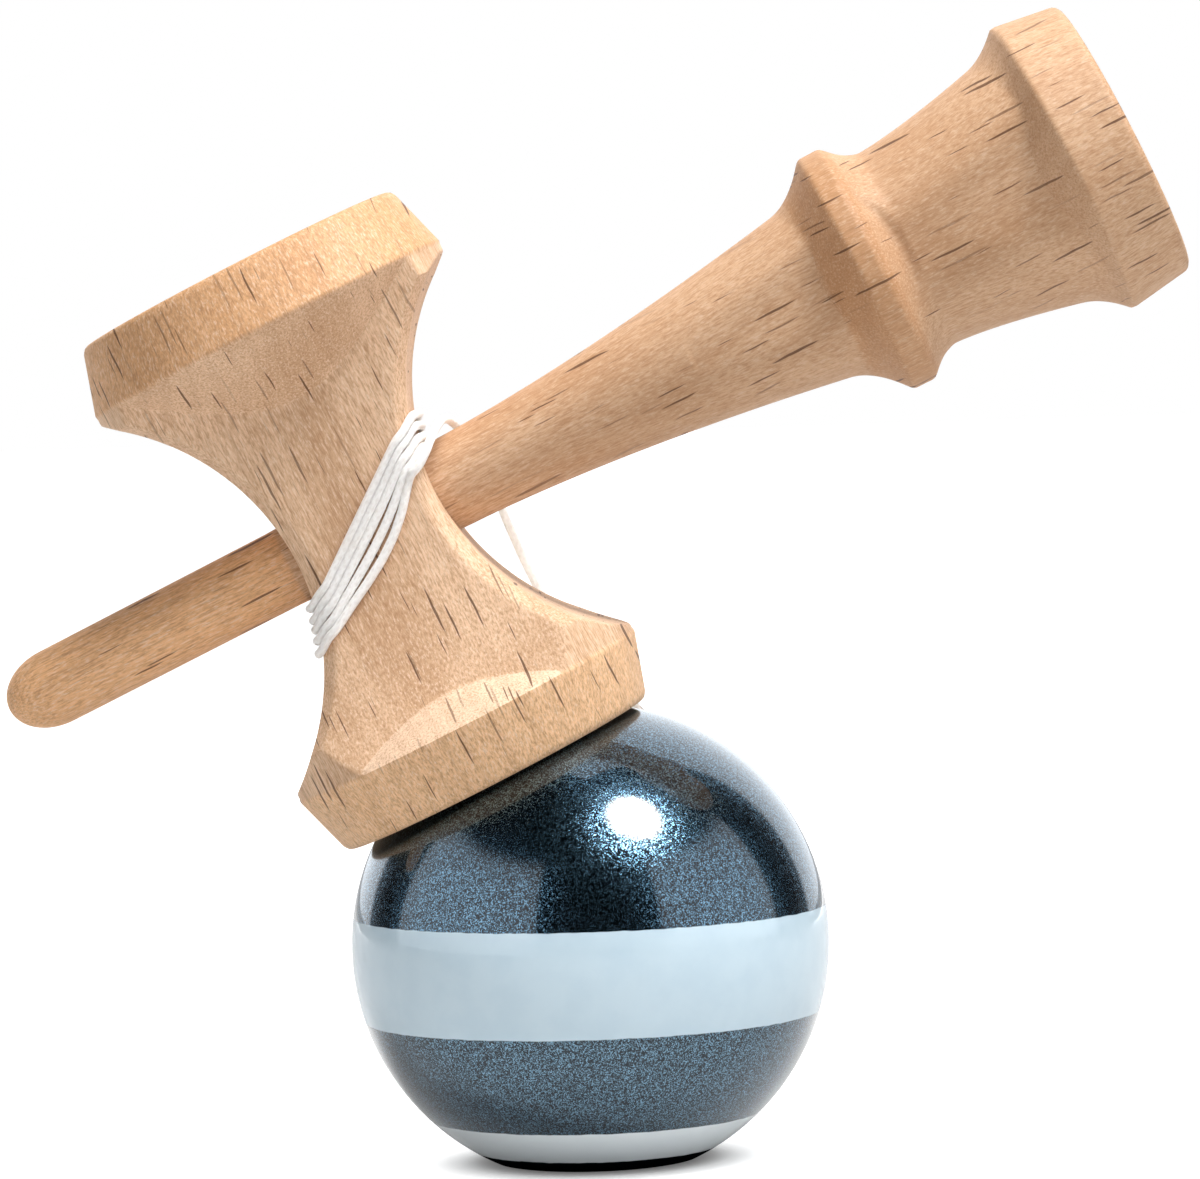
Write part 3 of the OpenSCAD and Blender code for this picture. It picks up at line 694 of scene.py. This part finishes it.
def makeLacquer():
    mat, add = newMaterial("lacquer")
    blur = lacquer["edgeBlur"]
    mm = add("VectorMath", (add("TexCoord", out="Object"), (1000,) * 3), operation="MULTIPLY")
    waver = add("TexNoise", {"Vector": mm, "Scale": 0.5, "Detail": 3})
    waver = add("Math", (waver, 0.5), operation="SUBTRACT")
    waver = add("Math", (waver, lacquer["edgeWaver"]), operation="MULTIPLY")
    z = add("Math", (add("SeparateXYZ", (mm,), 2), waver), operation="ADD")
    stripes = []
    for low, high in (ball["wideStripe"], ball["lowStripe"]):
        bottom = add("MapRange", (z, low - blur, low + blur), **smooth)
        top = add("MapRange", (z, high + blur, high - blur), **smooth)
        stripes.append(add("Math", (bottom, top), operation="MULTIPLY"))
    white = add("Math", stripes, operation="MAXIMUM")
    footTop = ball["lowStripe"][0]
    foot = add("MapRange", (z, footTop + blur, footTop - blur), **smooth)
    paint = add("Math", (1.0, add("Math", (white, foot), operation="MAXIMUM")), operation="SUBTRACT")
    cells = add("TexVoronoi", {"Vector": mm, "Scale": 1 / lacquer["flakeSize"], "Randomness": 1}, None)
    bright = add("MapRange", (add("SeparateColor", (cells["Color"],), 2), 0.4, 1.15), **smooth)
    flake = add("Mix", {0: bright, 6: linear(lacquer["dark"]), 7: linear(lacquer["flake"])}, 2, **colour)
    cloud = add("MapRange", (add("TexNoise", {"Vector": mm, "Scale": 0.25, "Detail": 3}), 0.35, 0.7), **smooth)
    plain = add("Mix", {0: cloud, 6: linear(lacquer["white"]), 7: linear(lacquer["cloud"])}, 2, **colour)
    # Below the wide stripe the white is painted lighter: painted light for the bounce from the white floor under
    # the lower stripe
    under = ball["wideStripe"][0]
    low = add("MapRange", (z, under - 5, under - 8), **smooth)
    plain = add("Mix", {0: low, 6: plain, 7: linear(lacquer["floorLitWhite"])}, 2, **colour)
    tone = add("Mix", {0: white, 6: flake, 7: plain}, 2, **colour)
    tone = add("Mix", {0: foot, 6: tone, 7: linear(lacquer["foot"])}, 2, **colour)
    rough = add("MapRange", {"Value": paint, "To Min": lacquer["plainRoughness"],
                             "To Max": lacquer["roughness"]})
    # Each flake leans its own way
    lean = add("VectorMath", (cells["Color"], (0.5,) * 3), operation="SUBTRACT")
    amount = add("Math", (paint, lacquer["flakeLean"]), operation="MULTIPLY")
    lean = add("VectorMath", {0: lean, "Scale": amount}, operation="SCALE")
    normal = add("VectorMath", (add("NewGeometry", out="Normal"), lean), operation="ADD")
    normal = add("VectorMath", (normal,), operation="NORMALIZE")
    coated = add("Math", (1.0, foot), operation="SUBTRACT")
    shader = add("BsdfPrincipled", {
        "Base Color": tone, "Metallic": add("Math", (paint, lacquer["metallic"]), operation="MULTIPLY"),
        "Roughness": rough, "Normal": normal, "Coat Weight": coated, "Coat Roughness": lacquer["coatRoughness"],
        "Coat IOR": 1.5, "Specular IOR Level": add("Math", (coated, 0.2), operation="MULTIPLY")})
    add("OutputMaterial", (shader,), None)
    return mat


# Braided nylon, soft and undyed: a matt white whose strands cross at a slant, with light in its depth. A real
# braid this thin has eight strands or more, and six are drawn so that they show
braid = {"light": "#fbf8f4", "shade": "#d5cbc2", "warm": "#efe6dc", "pitch": 2.6, "strands": 6,
         "roughness": 0.85, "bump": 0.12, "glow": 0.6, "glowDepth": 1}


# The free stretch hangs against the light, and some of it comes through the fibres
def makeBraid(name, through):
    mat, add = newMaterial(name)
    parts = add("SeparateXYZ", (add("UVMap", uv_map="cord"),), None)
    around = add("Math", (parts[0], braid["strands"] * math.pi), operation="MULTIPLY")
    length = add("Math", (parts[1], 4 * math.pi / braid["pitch"]), operation="MULTIPLY")
    strands = [add("Math", (add("Math", (around, length), operation=way),), operation="SINE")
               for way in ("ADD", "SUBTRACT")]
    weave = add("Math", strands, operation="MAXIMUM")
    spots = add("CombineXYZ", (add("Math", (parts[0], 16), operation="MULTIPLY"),
                               add("Math", (parts[1], 0.7), operation="MULTIPLY"), 0.0))
    fibre = add("TexNoise", {"Vector": spots, "Scale": 1, "Detail": 3, "Roughness": 0.65})
    broad = add("TexNoise", {"Vector": add("TexCoord", out="Object"), "Scale": 260, "Detail": 2})
    tone = linear(braid["light"])
    layers = [(weave, 0.3, -0.5, 0.2, "shade"), (fibre, 0.5, 0.75, 0.45, "shade"),
              (broad, 0.5, 0.8, 0.4, "warm")]  # from, to, amount
    for value, low, high, amount, layerColor in layers:
        cover = add("Math", (add("MapRange", (value, low, high), **smooth), amount), operation="MULTIPLY")
        tone = add("Mix", {0: cover, 6: tone, 7: linear(braid[layerColor])}, 2, **colour)
    height = add("Math", (add("Math", (weave, 0.35), operation="MULTIPLY"),
                          add("Math", (fibre, 0.8), operation="MULTIPLY")), operation="ADD")
    bump = add("Bump", {"Height": height, "Strength": 0.6, "Distance": braid["bump"] / 1000})
    shader = add("BsdfPrincipled", {
        "Base Color": tone, "Normal": bump, "Roughness": braid["roughness"], "Sheen Weight": 0.25,
        "Transmission Weight": through, "Subsurface Weight": braid["glow"], "Subsurface Radius": (1, 1, 1),
        "Subsurface Scale": braid["glowDepth"] / 1000})
    add("OutputMaterial", (shader,), None)
    return mat


beechInside = makeBeech("beech_inside", True, (77, 31, 12))
spoolObj.data.materials.append(makeBeech("beech_spool", True, (0, 5, 3), spoolTintAndLight))
handleObj.data.materials.append(makeBeech("beech_handle", False, (13, 2, 41), handleTintAndShade, (0.1, 0.42)))
ballObj.data.materials.append(makeLacquer())
ballObj.data.materials.append(beechInside)
for face in ballObj.data.polygons:  # the holes are bare wood
    inBore = face.center.xy.length * 1000 < ball["boreR"] + 0.2
    if inBore and face.center.length * 1000 < ball["radius"] - 0.6:
        face.material_index = 1
beadObj.data.materials.append(beechInside)
braidWound, braidFree = makeBraid("braid_wound", 0), makeBraid("braid_free", 0.45)
for name in strings:
    strings[name].data.materials.append(braidFree if name in ("string_upper", "string_lower") else braidWound)
print("materials made")

# Stage and light: places and sizes in metres, powers in watts
studio = {"floor": 0.6, "floorLift": 0.12, "floorFade": (0.0298, 0.036), "floorHalf": 6, "floorGloss": 0.155,
          "world": 0.33, "card": 1.5, "leftCard": (-105, -26), "rightCard": (36, 103), "back": 134, "soft": 0.04,
          "cool": "#eef4fa", "aim": (0, 0, 0.03)}
lamps = {"key": ((0.25, -0.24, 0.67), 0.11, 2.0), "top": ((0.15, -0.1, 0.85), 0.5, 7.6),
         "fill": ((-0.1, -1.0, 0.5), 0.5, 0.9), "low": ((0.5, -0.7, 0.02), 0.4, 1.1),
         "rimLeft": ((-0.5, 0.6, 0.08), 0.4, 1.8), "rimRight": ((0.4, 0.7, 0.06), 0.4, 3.0),
         "glow": ((0.25, -0.25, 0.67), 0.36, 9.5)}  # place, size, power


def seenDirectly(add):
    path = add("LightPath", out=None)
    seen = add("Math", (path["Is Camera Ray"], path["Is Transmission Ray"]), operation="MAXIMUM")
    return seen, path["Is Glossy Ray"]


def makeFloor():
    bm = bmesh.new()
    bmesh.ops.create_grid(bm, x_segments=1, y_segments=1, size=studio["floorHalf"],
                          matrix=Matrix.Translation((0, 0, -ball["foot"] / 1000)))
    mesh = bpy.data.meshes.new("floor")
    bm.to_mesh(mesh)
    bm.free()
    floor = addObject("floor", mesh)
    mat, add = newMaterial("floor")
    seen, glossy = seenDirectly(add)
    # Dimmer under the ball, so that its shadow shows
    away = add("VectorMath", (add("TexCoord", out="Object"),), "Value", operation="LENGTH")
    lift = add("MapRange", (away, *studio["floorFade"], studio["floorLift"], 1.0), **smooth)
    gloss = add("Math", (glossy, studio["floorGloss"]), operation="MULTIPLY")
    shown = add("Math", (seen, gloss), operation="ADD", use_clamp=True)
    shader = add("BsdfPrincipled", {
        "Base Color": (studio["floor"],) * 3 + (1,), "Roughness": 0.6, "Specular IOR Level": 0,
        "Emission Color": (1, 1, 1, 1), "Emission Strength": add("Math", (lift, shown), operation="MULTIPLY")})
    add("OutputMaterial", (shader,), None)
    mesh.materials.append(mat)


# White where it is seen, even on the object, and dark with three bright cards in the gloss
def makeWorld():
    world = bpy.data.worlds.new("studio")
    world.use_nodes = True
    add = partial(node, world.node_tree)
    soft = studio["soft"]
    seen, glossy = seenDirectly(add)
    way = add("SeparateXYZ", (add("TexCoord", out="Generated"),), None)
    turn = add("Math", (way[0], add("Math", (way[1], -1), operation="MULTIPLY")), operation="ARCTAN2")
    cards = []
    for card in (studio["leftCard"], studio["rightCard"]):
        first, last = math.radians(card[0]), math.radians(card[1])
        left = add("MapRange", (turn, first - soft, first + soft), **smooth)
        right = add("MapRange", (turn, last + soft, last - soft), **smooth)
        cards.append(add("Math", (left, right), operation="MULTIPLY"))
    cards = add("Math", cards, operation="MAXIMUM")
    low = add("MapRange", (way[2], 0.72, 0.6), **smooth)
    back = math.radians(studio["back"])
    behind = add("MapRange", (add("Math", (turn,), operation="ABSOLUTE"), back - soft, back + soft), **smooth)
    cards = add("Math", (add("Math", (cards, low), operation="MULTIPLY"), behind), operation="MAXIMUM")
    mirror = add("Math", (cards, studio["card"]), operation="MULTIPLY")
    change = add("Math", (mirror, studio["world"]), operation="SUBTRACT")
    change = add("Math", (glossy, change), operation="MULTIPLY")
    level = add("Math", (change, studio["world"]), operation="ADD")
    level = add("Math", (level, seen), operation="MAXIMUM")
    tint = add("Mix", {0: glossy, 6: (1, 1, 1, 1), 7: linear(studio["cool"])}, 2, **colour)
    background = world.node_tree.nodes["Background"]
    world.node_tree.links.new(tint, background.inputs["Color"])
    world.node_tree.links.new(level, background.inputs["Strength"])
    bpy.context.scene.world = world


def addLamp(name):
    place, size, power = lamps[name]
    data = bpy.data.lights.new(name, "AREA")
    data.shape = "DISK"
    data.size = size
    data.energy = power
    light = bpy.data.objects.new(name, data)
    light.location = place
    light.rotation_euler = (Vector(studio["aim"]) - Vector(place)).to_track_quat("-Z", "Y").to_euler()
    light.visible_glossy = name == "glow"
    light.visible_diffuse = name != "glow"
    bpy.context.collection.objects.link(light)
    return light


makeFloor()
makeWorld()
made = {name: addLamp(name) for name in lamps}
# The glow is a softbox, bright in its middle, that only the gloss shows
glow = made["glow"].data
glow.use_nodes = True
addGlow = partial(node, glow.node_tree)
spot = addGlow("NewGeometry", out="Parametric")
away = addGlow("VectorMath", (spot, (0.5, 0.5, 0)), "Value", operation="DISTANCE")
strength = addGlow("MapRange", (away, 0.5, 0.3), **smooth)
glow.node_tree.links.new(strength, glow.node_tree.nodes["Emission"].inputs["Strength"])
bpy.context.scene.view_settings.view_transform = "Standard"
print("stage and lights made")
